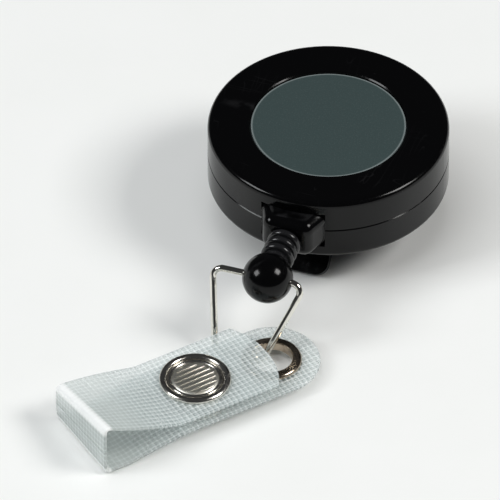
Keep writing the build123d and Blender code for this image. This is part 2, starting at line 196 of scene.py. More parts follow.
# reinforcing scrim inside the vinyl: crossed threads in the strap's own flat measure, metres
def buildScrimWeave():
    group, start, end = newGroup(
        "scrimWeave",
        [("Vector", "NodeSocketVector", None), ("Pitch", "NodeSocketFloat", 0.0008),
         ("Thread", "NodeSocketFloat", 0.3)],
        [("Threads", "NodeSocketFloat"), ("Crossings", "NodeSocketFloat"), ("Height", "NodeSocketFloat")])
    waverScale = 500.0
    waverShare = 0.35
    threadCore = 0.06
    crossingRise = 0.6
    split = group.nodes.new("ShaderNodeSeparateXYZ")
    group.links.new(start.outputs["Vector"], split.inputs["Vector"])
    waver = noiseNode(group, start.outputs["Vector"], waverScale, 1.0)
    threads = []
    for axis in ("X", "Y"):
        cell = mathNode(group, "DIVIDE", split.outputs[axis], start.outputs["Pitch"])
        saw = mathNode(group, "FRACT", mathNode(group, "MULTIPLY_ADD", waver, waverShare, cell))
        away = mathNode(group, "ABSOLUTE", mathNode(group, "SUBTRACT", saw, 0.5))
        threads.append(smoothStep(group, away, start.outputs["Thread"], threadCore))
    either = mathNode(group, "MAXIMUM", threads[0], threads[1])
    crossing = mathNode(group, "MULTIPLY", threads[0], threads[1])
    group.links.new(either, end.inputs["Threads"])
    group.links.new(crossing, end.inputs["Crossings"])
    group.links.new(mathNode(group, "MULTIPLY_ADD", crossing, crossingRise, either), end.inputs["Height"])
    return group


# braided cord: two crossing sets of helical strands, from the cord's own length and turn
def buildCordBraid():
    group, start, end = newGroup(
        "cordBraid",
        [("Vector", "NodeSocketVector", None), ("Strands", "NodeSocketFloat", 8.0),
         ("Lay", "NodeSocketFloat", 0.0011)],
        [("Height", "NodeSocketFloat"), ("ShadedGaps", "NodeSocketFloat")])
    split = group.nodes.new("ShaderNodeSeparateXYZ")
    group.links.new(start.outputs["Vector"], split.inputs["Vector"])
    along = mathNode(group, "DIVIDE", split.outputs["X"], start.outputs["Lay"])
    around = mathNode(group, "MULTIPLY", split.outputs["Y"], start.outputs["Strands"])
    strands = []
    for side in ("ADD", "SUBTRACT"):
        phase = mathNode(group, "MULTIPLY", mathNode(group, side, around, along), 2 * math.pi)
        strands.append(mathNode(group, "ABSOLUTE", mathNode(group, "SINE", phase)))
    height = mathNode(group, "MAXIMUM", strands[0], strands[1])
    group.links.new(height, end.inputs["Height"])
    group.links.new(smoothStep(group, height, 0.75, 0.3), end.inputs["ShadedGaps"])
    return group


mouldGrain = buildMouldGrain()
hairlines = buildHairlines()
dustSpecks = buildDustSpecks()
edgeRub = buildEdgeRub()
scrimWeave = buildScrimWeave()
cordBraid = buildCordBraid()
print("node groups built")


class Finish:
    # one material and the short steps its nodes are made with
    def __init__(self, name, **fixed):
        self.material = bpy.data.materials.new(name)
        self.material.use_nodes = True
        self.tree = self.material.node_tree
        self.shader = self.tree.nodes["Principled BSDF"]
        for label, value in fixed.items():
            self.shader.inputs[label.replace("_", " ")].default_value = value
        self.coords = self.tree.nodes.new("ShaderNodeTexCoord")

    def put(self, group, vector, **values):
        node = self.tree.nodes.new("ShaderNodeGroup")
        node.node_tree = group
        self.tree.links.new(vector, node.inputs["Vector"])
        for label, value in values.items():
            setSocket(self.tree, node.inputs[label], value)
        return node

    def mix(self, mask, plain, worn):
        node = self.tree.nodes.new("ShaderNodeMix")
        node.data_type = "RGBA"
        self.tree.links.new(mask, node.inputs["Factor"])
        for socket, value in ((node.inputs[6], plain), (node.inputs[7], worn)):
            setSocket(self.tree, socket, value if hasattr(value, "is_linked") else (*value, 1.0))
        return node.outputs[2]

    def between(self, mask, low, high):
        node = self.tree.nodes.new("ShaderNodeMapRange")
        self.tree.links.new(mask, node.inputs["Value"])
        node.inputs["To Min"].default_value = low
        node.inputs["To Max"].default_value = high
        return node.outputs["Result"]

    def bump(self, height, distance, strength=1.0, under=None):
        node = self.tree.nodes.new("ShaderNodeBump")
        node.inputs["Strength"].default_value = strength
        node.inputs["Distance"].default_value = distance
        self.tree.links.new(height, node.inputs["Height"])
        if under is not None:
            self.tree.links.new(under, node.inputs["Normal"])
        return node.outputs["Normal"]

    def feed(self, label, value):
        self.tree.links.new(value, self.shader.inputs[label])


caseBlack = {"colour": (0.0014, 0.0014, 0.0016), "worn": (0.018, 0.018, 0.019),
             "grain": 4200.0, "waves": 260.0, "grainDepth": 0.006 * mm,
             "scratches": 420.0, "scratchWidth": 0.004, "scratchDepth": 0.004 * mm,
             "dust": 700.0, "dustSize": 0.13, "markShare": 0.35,
             "rubFrom": 0.54, "rubFull": 0.66, "rubShare": 0.5,
             "rough": 0.10, "roughPatches": 0.08, "roughWorn": 0.35}


def makeBlackPlastic():
    finish = Finish("glossBlackPlastic", IOR=1.5, Specular_IOR_Level=0.22)
    tree = finish.tree
    where = finish.coords.outputs["Object"]
    pointiness = tree.nodes.new("ShaderNodeNewGeometry").outputs["Pointiness"]
    grain = finish.put(mouldGrain, where, Fineness=caseBlack["grain"], Waviness=caseBlack["waves"])
    scratch = finish.put(hairlines, where, Density=caseBlack["scratches"],
                         Thinness=caseBlack["scratchWidth"])
    dust = finish.put(dustSpecks, where, Density=caseBlack["dust"], Size=caseBlack["dustSize"])
    rub = finish.put(edgeRub, where, Pointiness=pointiness, Start=caseBlack["rubFrom"],
                     Full=caseBlack["rubFull"])
    marks = mathNode(tree, "MAXIMUM", scratch.outputs["Mask"], dust.outputs["Mask"])
    worn = mathNode(tree, "MAXIMUM", mathNode(tree, "MULTIPLY", marks, caseBlack["markShare"]),
                    mathNode(tree, "MULTIPLY", rub.outputs["Mask"], caseBlack["rubShare"]))
    finish.feed("Base Color", finish.mix(worn, caseBlack["colour"], caseBlack["worn"]))
    patches = grain.outputs["Patches"]
    rough = mathNode(tree, "MULTIPLY_ADD", patches, caseBlack["roughPatches"], caseBlack["rough"])
    finish.feed("Roughness", mathNode(tree, "MULTIPLY_ADD", worn, caseBlack["roughWorn"], rough))
    normal = finish.bump(grain.outputs["Height"], caseBlack["grainDepth"], 0.5)
    finish.feed("Normal", finish.bump(scratch.outputs["Height"], caseBlack["scratchDepth"], 0.6, normal))
    return finish.material


bootBlack = {"colour": (0.010, 0.010, 0.011), "dusty": (0.06, 0.06, 0.058), "rough": (0.14, 0.26),
             "grain": 6000.0, "waves": 500.0, "grainDepth": 0.01 * mm, "dust": 1300.0, "dustSize": 0.2}


def makeBlackRubber():
    finish = Finish("bootRubber", IOR=1.5)
    where = finish.coords.outputs["Object"]
    grain = finish.put(mouldGrain, where, Fineness=bootBlack["grain"], Waviness=bootBlack["waves"])
    dust = finish.put(dustSpecks, where, Density=bootBlack["dust"], Size=bootBlack["dustSize"])
    finish.feed("Base Color", finish.mix(dust.outputs["Mask"], bootBlack["colour"], bootBlack["dusty"]))
    finish.feed("Roughness", finish.between(grain.outputs["Patches"], *bootBlack["rough"]))
    finish.feed("Normal", finish.bump(grain.outputs["Height"], bootBlack["grainDepth"], 0.6))
    return finish.material


# the lighter colour at the disc's edge is a painted highlight
labelSlate = {"face": (0.038, 0.057, 0.057), "speckle": (0.062, 0.085, 0.084), "rim": (0.17, 0.20, 0.20),
              "rimFrom": 9.95 * mm, "rimTo": 10.15 * mm, "speckleScale": 5200.0,
              "grain": 5200.0, "waves": 420.0, "grainDepth": 0.012 * mm,
              "scratches": 260.0, "scratchWidth": 0.004,
              "rough": 0.34, "roughPatches": 0.12, "roughScratch": -0.08}


def makeLabelSlate():
    finish = Finish("labelSlate", IOR=1.45)
    tree = finish.tree
    where = finish.coords.outputs["Object"]
    grain = finish.put(mouldGrain, where, Fineness=labelSlate["grain"], Waviness=labelSlate["waves"])
    scratch = finish.put(hairlines, where, Density=labelSlate["scratches"],
                         Thinness=labelSlate["scratchWidth"])
    speckle = smoothStep(tree, noiseNode(tree, where, labelSlate["speckleScale"], 2.0, 0.7), 0.5, 0.75)
    tone = finish.mix(speckle, labelSlate["face"], labelSlate["speckle"])
    split = tree.nodes.new("ShaderNodeSeparateXYZ")
    tree.links.new(where, split.inputs["Vector"])
    squares = [mathNode(tree, "MULTIPLY", split.outputs[axis], split.outputs[axis]) for axis in "XY"]
    radius = mathNode(tree, "SQRT", mathNode(tree, "ADD", *squares))
    # the thin lighter ring at the disc's edge is a painted highlight of the edge catching light
    rim = smoothStep(tree, radius, labelSlate["rimFrom"], labelSlate["rimTo"])
    finish.feed("Base Color", finish.mix(rim, tone, labelSlate["rim"]))
    patches = grain.outputs["Patches"]
    rough = mathNode(tree, "MULTIPLY_ADD", patches, labelSlate["roughPatches"], labelSlate["rough"])
    rough = mathNode(tree, "MULTIPLY_ADD", scratch.outputs["Mask"], labelSlate["roughScratch"], rough)
    finish.feed("Roughness", rough)
    finish.feed("Normal", finish.bump(grain.outputs["Height"], labelSlate["grainDepth"], 0.5))
    return finish.material


metals = {
    "nickelPlate": {"colour": (0.80, 0.77, 0.71), "stain": (0.58, 0.54, 0.46), "rough": (0.13, 0.24),
                    "scratches": 420.0},
    "satinNickel": {"colour": (0.90, 0.88, 0.80), "stain": (0.74, 0.70, 0.60), "rough": (0.38, 0.52),
                    "scratches": 420.0},
    "postSteel": {"colour": (0.56, 0.57, 0.58), "stain": (0.4, 0.4, 0.4), "rough": (0.2, 0.4),
                  "scratches": 300.0},
    "springSteel": {"colour": (0.30, 0.32, 0.38), "stain": (0.2, 0.2, 0.24), "rough": (0.2, 0.35),
                    "scratches": 500.0},
    "nickelWire": {"colour": (0.80, 0.78, 0.72), "stain": (0.6, 0.56, 0.48), "rough": (0.05, 0.13),
                   "scratches": 260.0},
    "eyeletWornNickel": {"colour": (0.52, 0.44, 0.35), "stain": (0.26, 0.20, 0.14), "rough": (0.12, 0.28),
                         "scratches": 420.0},
}
metalSurface = {"grain": 3500.0, "waves": 600.0, "grainDepth": 0.004 * mm, "scratchWidth": 0.012,
                "scratchDepth": 0.005 * mm, "scratchRough": 0.15, "stainScale": 900.0}


def makeMetal(name):
    metal = metals[name]
    finish = Finish(name, Metallic=1.0)
    tree = finish.tree
    where = finish.coords.outputs["Object"]
    grain = finish.put(mouldGrain, where, Fineness=metalSurface["grain"], Waviness=metalSurface["waves"])
    scratch = finish.put(hairlines, where, Density=metal["scratches"], Thinness=metalSurface["scratchWidth"])
    stain = smoothStep(tree, noiseNode(tree, where, metalSurface["stainScale"], 4.0, 0.6), 0.52, 0.78)
    finish.feed("Base Color", finish.mix(stain, metal["colour"], metal["stain"]))
    smoothest, roughest = metal["rough"]
    rough = mathNode(tree, "MULTIPLY_ADD", grain.outputs["Patches"], roughest - smoothest, smoothest)
    rough = mathNode(tree, "MULTIPLY_ADD", scratch.outputs["Mask"], metalSurface["scratchRough"], rough)
    finish.feed("Roughness", rough)
    normal = finish.bump(grain.outputs["Height"], metalSurface["grainDepth"], 0.4)
    finish.feed("Normal", finish.bump(scratch.outputs["Height"], metalSurface["scratchDepth"], 0.6, normal))
    return finish.material


acetal = {"colour": (0.78, 0.77, 0.73), "patches": (0.70, 0.69, 0.65), "rough": (0.32, 0.48),
          "grain": 2600.0, "waves": 300.0, "grainDepth": 0.01 * mm}


def makeSpoolAcetal():
    finish = Finish("spoolAcetal", IOR=1.48)
    where = finish.coords.outputs["Object"]
    grain = finish.put(mouldGrain, where, Fineness=acetal["grain"], Waviness=acetal["waves"])
    finish.feed("Base Color", finish.mix(grain.outputs["Patches"], acetal["colour"], acetal["patches"]))
    finish.feed("Roughness", finish.between(grain.outputs["Patches"], *acetal["rough"]))
    finish.feed("Normal", finish.bump(grain.outputs["Height"], acetal["grainDepth"], 0.4))
    return finish.material


cordBlack = {"colour": (0.018, 0.018, 0.019), "shadedGaps": (0.004, 0.004, 0.004), "rough": (0.5, 0.8),
             "strands": 4.0, "lay": 1.1 * mm, "depth": 0.06 * mm, "fuzz": 3800.0}


def makeBraidedCord(useUv):
    finish = Finish("braidedCordPulled" if useUv else "braidedCord", IOR=1.5, Sheen_Weight=0.25)
    where = finish.coords.outputs["UV" if useUv else "Object"]
    if useUv:
        braid = finish.put(cordBraid, where, Strands=cordBlack["strands"], Lay=cordBlack["lay"])
        height, shadedGaps = braid.outputs["Height"], braid.outputs["ShadedGaps"]
    else:
        height = noiseNode(finish.tree, where, cordBlack["fuzz"], 2.0)
        shadedGaps = smoothStep(finish.tree, height, 0.55, 0.35)
    # the darker colour in the gaps between strands is painted shade
    finish.feed("Base Color", finish.mix(shadedGaps, cordBlack["colour"], cordBlack["shadedGaps"]))
    finish.feed("Roughness", finish.between(shadedGaps, *cordBlack["rough"]))
    finish.feed("Normal", finish.bump(height, cordBlack["depth"], 0.8))
    return finish.material


vinyl = {"clear": (0.42, 0.50, 0.49), "foldTone": (0.66, 0.72, 0.70), "thread": (0.80, 0.86, 0.86),
         "crossing": (0.90, 0.94, 0.94), "creaseWhiteAndHighlight": (0.97, 0.98, 0.97),
         "clearAlpha": 0.23, "threadAlpha": 0.40, "crossingAlpha": 0.18, "creaseAlpha": 0.75,
         "edgeAlpha": 0.35, "foldAlphaRise": 0.12, "scratchAlpha": 0.25, "edgeBlend": 0.3,
         "pitch": 0.72 * mm, "threadHalf": 0.30, "threadDepth": 0.03 * mm,
         "foldMiddle": 38.5 * mm, "foldFull": 6 * mm, "foldEnd": 14 * mm, "foldThreads": -0.6,
         "creaseUneven": (0.75, 1.15), "rough": (0.08, 0.26),
         "grain": 1500.0, "waves": 160.0, "waveDepth": 0.06 * mm, "scratches": 240.0, "scratchWidth": 0.006}


# clear vinyl over the scrim, made lighter and more opaque round the fold, and white at its creases, partly a
# painted highlight
def makeStrapVinyl():
    finish = Finish("strapVinyl", IOR=1.53)
    tree = finish.tree
    flat = finish.coords.outputs["UV"]
    weave = finish.put(scrimWeave, flat, Pitch=vinyl["pitch"], Thread=vinyl["threadHalf"])
    wave = finish.put(mouldGrain, flat, Fineness=vinyl["grain"], Waviness=vinyl["waves"])
    scratch = finish.put(hairlines, flat, Density=vinyl["scratches"], Thinness=vinyl["scratchWidth"])
    facing = tree.nodes.new("ShaderNodeLayerWeight")
    facing.inputs["Blend"].default_value = vinyl["edgeBlend"]
    # the creases are painted white and more opaque: partly stress whitening of the vinyl, partly a painted
    # highlight along the crease top
    crease = tree.nodes.new("ShaderNodeAttribute")
    crease.attribute_name = "crease"
    uneven = finish.between(wave.outputs["Patches"], *vinyl["creaseUneven"])
    creaseWhiteAndHighlight = mathNode(tree, "MULTIPLY", crease.outputs["Fac"], uneven, clamp=True)
    split = tree.nodes.new("ShaderNodeSeparateXYZ")
    tree.links.new(flat, split.inputs["Vector"])
    beyond = mathNode(tree, "SUBTRACT", split.outputs["X"], vinyl["foldMiddle"])
    fromFold = mathNode(tree, "ABSOLUTE", beyond)
    # near the fold the vinyl is made lighter and more opaque, with fainter threads
    nearFold = smoothStep(tree, fromFold, vinyl["foldEnd"], vinyl["foldFull"])
    fade = mathNode(tree, "MULTIPLY_ADD", nearFold, vinyl["foldThreads"], 1.0)
    threads = mathNode(tree, "MULTIPLY", weave.outputs["Threads"], fade)
    crossings = mathNode(tree, "MULTIPLY", weave.outputs["Crossings"], fade)
    tone = finish.mix(nearFold, vinyl["clear"], vinyl["foldTone"])
    tone = finish.mix(threads, tone, vinyl["thread"])
    tone = finish.mix(crossings, tone, vinyl["crossing"])
    finish.feed("Base Color", finish.mix(creaseWhiteAndHighlight, tone, vinyl["creaseWhiteAndHighlight"]))
    body = finish.between(threads, vinyl["clearAlpha"], vinyl["threadAlpha"])
    body = mathNode(tree, "MULTIPLY_ADD", crossings, vinyl["crossingAlpha"], body)
    body = mathNode(tree, "MULTIPLY_ADD", nearFold, vinyl["foldAlphaRise"], body)
    for mask, share in ((facing.outputs["Facing"], "edgeAlpha"), (creaseWhiteAndHighlight, "creaseAlpha"),
                        (scratch.outputs["Mask"], "scratchAlpha")):
        body = mathNode(tree, "MULTIPLY_ADD", mask, vinyl[share], body, clamp=True)
    finish.feed("Alpha", body)
    finish.feed("Roughness", finish.between(wave.outputs["Patches"], *vinyl["rough"]))
    normal = finish.bump(wave.outputs["Height"], vinyl["waveDepth"], 0.5)
    finish.feed("Normal", finish.bump(weave.outputs["Height"], vinyl["threadDepth"], 0.5, normal))
    return finish.material


floorPaper = {"colour": (0.86, 0.87, 0.85), "patches": (0.89, 0.895, 0.885), "rough": (0.5, 0.62),
              "tintScale": 60.0, "toothScale": 2500.0, "toothDepth": 0.02 * mm}


def makeFloorPaper():
    finish = Finish("paleFloor", IOR=1.4)
    where = finish.coords.outputs["Object"]
    tint = noiseNode(finish.tree, where, floorPaper["tintScale"], 4.0, 0.6)
    tooth = noiseNode(finish.tree, where, floorPaper["toothScale"], 3.0)
    finish.feed("Base Color", finish.mix(tint, floorPaper["colour"], floorPaper["patches"]))
    finish.feed("Roughness", finish.between(tint, *floorPaper["rough"]))
    finish.feed("Normal", finish.bump(tooth, floorPaper["toothDepth"], 0.25))
    return finish.material


nickelPlate = makeMetal("nickelPlate")
satinNickel = makeMetal("satinNickel")
strapVinyl = makeStrapVinyl()
slotMaterials = {
    "black_plastic": makeBlackPlastic(),
    "black_rubber": makeBlackRubber(),
    "label_slate": makeLabelSlate(),
    "steel_pin": makeMetal("postSteel"),
    "spring_steel": makeMetal("springSteel"),
    "spool_white": makeSpoolAcetal(),
    "cord_black": makeBraidedCord(False),
    "nickel_wire": makeMetal("nickelWire"),
    "nickel_plate": nickelPlate,
    "strap_vinyl": strapVinyl,
}
for entry in frame["record"]["subparts"]:
    node = frame["nodes"][entry["node"]]
    node.data.materials.clear()
    node.data.materials.append(slotMaterials[entry["material_slot"]])
eyeletWorn = makeMetal("eyeletWornNickel")
for name in ("eyelet_barrel", "eyelet_washer"):
    frame["nodes"][name].data.materials[0] = eyeletWorn
print("materials built")


def boxCentre(node):
    low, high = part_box(node)
    return (low + high) / 2


def jointPlace(name):
    joint = next(j for j in frame["joints"] if j["name"] == name)
    return Vector(joint["pos_m"])


# the strap's own measure: origin under the eyelet, x towards the fold, y across, z up
floorZ = cadBox[0][2]
eyeletAt = boxCentre("eyelet_barrel")
snapAt = boxCentre("snap_cap")
along = Vector((snapAt.x - eyeletAt.x, snapAt.y - eyeletAt.y, 0)).normalized()
across = Vector((-along.y, along.x, 0))
strapTurn = Matrix((along, across, (0, 0, 1))).transposed().to_4x4()
strapFrame = Matrix.Translation((eyeletAt.x, eyeletAt.y, floorZ)) @ strapTurn


def inStrap(point):
    return strapFrame.inverted() @ Vector(point)


strap = {"width": 12.8 * mm, "thickness": 0.45 * mm, "endPast": 6.4 * mm, "endRadius": 6.3 * mm,
         "eyeletHole": 2.95 * mm, "snapHole": 1.25 * mm, "holeSides": 96,
         "rampFrom": 5.6 * mm, "rampTo": 3.4 * mm, "floorGap": 0.05 * mm, "rampRadii": (5 * mm, 4 * mm),
         "wallOut": 0.2 * mm, "wallFoot": 0.1 * mm, "wallLean": 0.05 * mm, "wallRise": 0.2 * mm,
         "footRadius": 0.75 * mm, "foldRadius": 0.55 * mm,
         "flapRamp": 5.7 * mm, "flapRadius": 7 * mm, "flapPast": 10.8 * mm,
         "flapBow": 1.9 * mm, "flapBowPower": 0.4,
         "creaseLift": 1.15 * mm, "liftFrom": 6 * mm, "liftAlongPower": 1.5, "liftUpPower": 1.2,
         "creaseSpread": 0.5 * mm, "creaseFull": 0.25, "creaseLeast": 0.2,
         "step": 0.25 * mm, "acrossSteps": 40, "edgeSteps": 4, "endSteps": 36}
foldX = inStrap(jointPlace("fold_open")).x
foldTop = inStrap(jointPlace("flap_open")).z
snapX = inStrap(snapAt).x
lowerMid = inStrap(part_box("eyelet_washer")[1]).z + strap["thickness"] / 2
flapMid = inStrap(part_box("snap_socket")[1]).z + strap["thickness"] / 2


def spun(vector, turn):
    # the vector turned in its own plane
    return Vector((vector.x * math.cos(turn) - vector.y * math.sin(turn),
                   vector.x * math.sin(turn) + vector.y * math.cos(turn)))


def roundedPath(points, radii, step):
    # stations (x, z) along straight runs joined by arcs
    out = [Vector(points[0])]
    for index in range(1, len(points) - 1):
        radius = radii[index - 1]
        before = Vector(points[index - 1])
        corner = Vector(points[index])
        after = Vector(points[index + 1])
        toBefore = (before - corner).normalized()
        toAfter = (after - corner).normalized()
        half = toBefore.angle(toAfter) / 2
        reach = radius / math.tan(half)
        centre = corner + (toBefore + toAfter).normalized() * radius / math.sin(half)
        first = corner + toBefore * reach - centre
        last = corner + toAfter * reach - centre
        turn = first.angle_signed(last)
        count = max(6, int(abs(turn) * radius / step * 2))
        out += [centre + spun(first, -turn * k / count) for k in range(count + 1)]
    out.append(Vector(points[-1]))
    dense = [out[0]]
    for a, b in zip(out, out[1:]):
        count = max(1, round((b - a).length / step))
        dense += [a.lerp(b, k / count) for k in range(1, count + 1)]
    return dense


def crossRing(width, half):
    # (across, out of the sheet) round one section: lower face, edge, upper face, edge
    faceSteps = strap["acrossSteps"]
    edgeSteps = strap["edgeSteps"]
    ring = [(-width + 2 * width * k / faceSteps, -half) for k in range(faceSteps + 1)]
    for k in range(1, edgeSteps):
        a = -math.pi / 2 + math.pi * k / edgeSteps
        ring.append((width + half * math.cos(a), half * math.sin(a)))
    ring += [(width - 2 * width * k / faceSteps, half) for k in range(faceSteps + 1)]
    for k in range(1, edgeSteps):
        a = math.pi / 2 + math.pi * k / edgeSteps
        ring.append((-width + half * math.cos(a), half * math.sin(a)))
    return ring


def endFaces(bm, ring, flip):
    faceSteps = strap["acrossSteps"]
    edgeSteps = strap["edgeSteps"]
    low = ring[:faceSteps + 1]
    nearEdge = ring[faceSteps + 1:faceSteps + edgeSteps]
    high = ring[faceSteps + edgeSteps:2 * faceSteps + edgeSteps + 1][::-1]
    farEdge = ring[2 * faceSteps + edgeSteps + 1:]
    quads = [(low[k], low[k + 1], high[k + 1], high[k]) for k in range(faceSteps)]
    quads.append((low[-1], *nearEdge, high[-1]))
    quads.append((high[0], *farEdge, low[0]))
    for quad in quads:
        bm.faces.new(tuple(reversed(quad)) if flip else quad)


def skinRings(bm, rings):
    count = len(rings[0])
    for a, b in zip(rings, rings[1:]):
        for k in range(count):
            bm.faces.new((a[k], a[(k + 1) % count], b[(k + 1) % count], b[k]))


def newPiece(name, bm, material):
    bmesh.ops.recalc_face_normals(bm, faces=bm.faces)
    mesh = bpy.data.meshes.new(name)
    bm.to_mesh(mesh)
    bm.free()
    piece = bpy.data.objects.new(name, mesh)
    bpy.context.scene.collection.objects.link(piece)
    mesh.materials.append(material)
    return piece


def sheetMesh(name, path, halfWidth, lift, startLength):
    # closed sheet: rings of points across both faces with half-round long edges
    bm = bmesh.new()
    uvLayer = bm.loops.layers.uv.new("flat")
    half = strap["thickness"] / 2
    lengths = [startLength]
    for a, b in zip(path, path[1:]):
        lengths.append(lengths[-1] + (b - a).length)
    rings = []
    flats = {}
    bends = []
    for index, station in enumerate(path):
        before = path[max(index - 1, 0)]
        after = path[min(index + 1, len(path) - 1)]
        tangent = (after - before).normalized()
        normal = Vector((-tangent.y, tangent.x))
        inside = 0 < index < len(path) - 1
        bends.append(abs((after - station).angle_signed(station - before, 0.0)) if inside else 0.0)
        verts = []
        for y, n in crossRing(halfWidth(station) - half, half):
            place = station + normal * n
            vert = bm.verts.new(strapFrame @ Vector((place.x, y, place.y + lift(station, y))))
            flats[vert] = (lengths[index], y)
            verts.append(vert)
        rings.append(verts)
    skinRings(bm, rings)
    endFaces(bm, rings[0], True)
    endFaces(bm, rings[-1], False)
    for face in bm.faces:
        face.smooth = True
        for loop in face.loops:
            loop[uvLayer].uv = flats[loop.vert]
    ringSize = len(rings[0])
    piece = newPiece(name, bm, strapVinyl)
    crease = piece.data.attributes.new("crease", "FLOAT", "POINT")
    spread = strap["creaseSpread"]
    for index, station in enumerate(lengths):
        near = [bend * max(0.0, 1 - abs(place - station) / spread)
                for bend, place in zip(bends, lengths)]
        value = min(1.0, max(near) / strap["creaseFull"])
        for k in range(ringSize):
            crease.data[index * ringSize + k].value = value if value > strap["creaseLeast"] else 0.0
    return piece, lengths[-1]


def diskCutter(radius, centreX, low, high):
    bm = bmesh.new()
    bmesh.ops.create_cone(bm, cap_ends=True, segments=strap["holeSides"], radius1=radius, radius2=radius,
                          depth=high - low)
    bmesh.ops.translate(bm, verts=bm.verts, vec=(centreX, 0, (low + high) / 2))
    bmesh.ops.transform(bm, matrix=strapFrame, verts=bm.verts)
    mesh = bpy.data.meshes.new("cutter")
    bm.to_mesh(mesh)
    bm.free()
    cutter = bpy.data.objects.new("cutter", mesh)
    bpy.context.scene.collection.objects.link(cutter)
    return cutter


def punch(piece, cutters):
    for cutter in cutters:
        modifier = piece.modifiers.new("punch", "BOOLEAN")
        modifier.operation = "DIFFERENCE"
        modifier.solver = "EXACT"
        modifier.object = cutter
    depsgraph = bpy.context.evaluated_depsgraph_get()
    cut = bpy.data.meshes.new_from_object(piece.evaluated_get(depsgraph))
    piece.modifiers.clear()
    piece.data = cut
    for cutter in cutters:
        bpy.data.objects.remove(cutter)


def roundedEnd(past, radius):
    # half width near an end whose corners have this radius
    full = strap["width"] / 2
    if past >= radius:
        return full
    short = radius - past
    return full - radius + math.sqrt(max(radius ** 2 - short ** 2, 0))


def strapHalfWidth(station):
    if station.y > foldTop / 2:
        return strap["width"] / 2
    return roundedEnd(station.x + strap["endPast"], strap["endRadius"])


def flapHalfWidth(station):
    # the free end is a shallow bow
    past = max(station.x - snapX + strap["flapPast"], 0.0)
    return strap["width"] / 2 * min(1.0, (past / strap["flapBow"])) ** strap["flapBowPower"]


def endStations(path, first, radius):
    # closer stations where an end is round, so that its outline is smooth
    start = path[0] if first else path[-1]
    after = path[1] if first else path[-2]
    way = (after - start).normalized()
    kept = [p for p in path if (p - start).dot(way) > radius]
    count = strap["endSteps"]
    arc = [start + way * radius * (1 - math.cos(math.pi / 2 * k / count)) for k in range(1, count + 1)]
    return arc + kept if first else kept + arc[::-1]


def creaseLift(station, y):
    # the near edge of the fold stands higher than the far one
    liftX = strap["liftFrom"]
    reach = max(0.0, min(1.0, (station.x - snapX - liftX) / (foldX - snapX - liftX)))
    rise = max(0.0, min(1.0, station.y / foldTop))
    amount = (reach ** strap["liftAlongPower"]) * (rise ** strap["liftUpPower"])
    return strap["creaseLift"] * amount * (2 * y / strap["width"])


def makeStrap():
    levelZ = strap["thickness"] / 2 + strap["floorGap"]
    wallX = foldX + strap["wallOut"]
    middle = foldTop / 2
    lowerPath = roundedPath(
        [(-strap["endPast"], lowerMid), (snapX + strap["rampFrom"], lowerMid),
         (foldX - strap["rampTo"], levelZ), (foldX + strap["wallFoot"], levelZ), (wallX, middle)],
        [*strap["rampRadii"], strap["footRadius"]], strap["step"])
    lowerPath = endStations(lowerPath, True, strap["endRadius"])
    lower, reach = sheetMesh("strapLower", lowerPath, strapHalfWidth, creaseLift, 0.0)
    punch(lower, [diskCutter(strap["eyeletHole"], 0.0, 0.0, 3 * mm),
                  diskCutter(strap["snapHole"], snapX, 0.0, 3 * mm)])
    flapPath = roundedPath(
        [(wallX, middle), (wallX - strap["wallLean"], foldTop + strap["wallRise"]),
         (snapX + strap["flapRamp"], flapMid), (snapX - strap["flapPast"], flapMid)],
        [strap["foldRadius"], strap["flapRadius"]], strap["step"])
    flapPath = endStations(flapPath, False, strap["flapBow"])
    flap, _ = sheetMesh("strapFlap", flapPath, flapHalfWidth, creaseLift, reach)
    punch(flap, [diskCutter(strap["snapHole"], snapX, 2 * mm, 5 * mm)])
    return lower, flap


strapLower, strapFlap = makeStrap()
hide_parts("strap_lower", "strap_fold")
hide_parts("strap_flap")
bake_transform(strapLower)
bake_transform(strapFlap)
print("strap made")

pulledCord = {"radius": 0.4 * mm, "inside": 1.2 * mm, "rings": 80, "sides": 24}


# the cord between the outlet and the boot, the length that is pulled out of the reel
def makePulledCord():
    guideLow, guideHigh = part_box("cord_guide")
    centreZ = (guideLow.z + guideHigh.z) / 2
    startY = guideLow.y + pulledCord["inside"]
    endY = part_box("ribbed_boot")[1].y - pulledCord["inside"]
    radius = pulledCord["radius"]
    count = pulledCord["rings"]
    sides = pulledCord["sides"]
    turns = [2 * math.pi * k / sides for k in range(sides)]
    bm = bmesh.new()
    uvLayer = bm.loops.layers.uv.new("flat")
    rings = []
    for i in range(count + 1):
        y = startY + (endY - startY) * i / count
        circle = [(radius * math.cos(a), y, centreZ + radius * math.sin(a)) for a in turns]
        rings.append([bm.verts.new(place) for place in circle])
    for i, (a, b) in enumerate(zip(rings, rings[1:])):
        for k in range(sides):
            face = bm.faces.new((a[k], a[(k + 1) % sides], b[(k + 1) % sides], b[k]))
            face.smooth = True
            corners = ((i, k), (i, k + 1), (i + 1, k + 1), (i + 1, k))
            for loop, (row, column) in zip(face.loops, corners):
                loop[uvLayer].uv = ((endY - startY) * row / count, column / sides)
    bm.faces.new(rings[0])
    bm.faces.new(tuple(reversed(rings[-1])))
    piece = newPiece("pulledCord", bm, makeBraidedCord(True))
    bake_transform(piece)


makePulledCord()
print("cord made")

# the snap's cap: a rolled ring, a groove and a bead round a ribbed centre
cap = {"segments": 128, "arcSteps": 14,
       "ringMiddle": 4.24 * mm, "ringWidth": 0.51 * mm, "ringHeight": 0.65 * mm, "ringFoot": 0.18 * mm,
       "ringUnder": 0.8,
       "grooveMiddle": 3.66 * mm, "grooveWidth": 0.07 * mm, "grooveDepth": 0.05 * mm,
       "beadMiddle": 3.34 * mm, "beadWidth": 0.25 * mm, "beadHeight": 0.22 * mm,
       "centreRadius": 3.09 * mm, "centreHeight": 0.28 * mm, "centreRings": (0.8, 0.5, 0.2),
       "bars": 7, "pitch": 0.78 * mm, "barWidth": 0.40 * mm, "barHeight": 0.10 * mm, "barReach": 2.75 * mm,
       "barRound": 0.04 * mm, "barStand": 0.3}


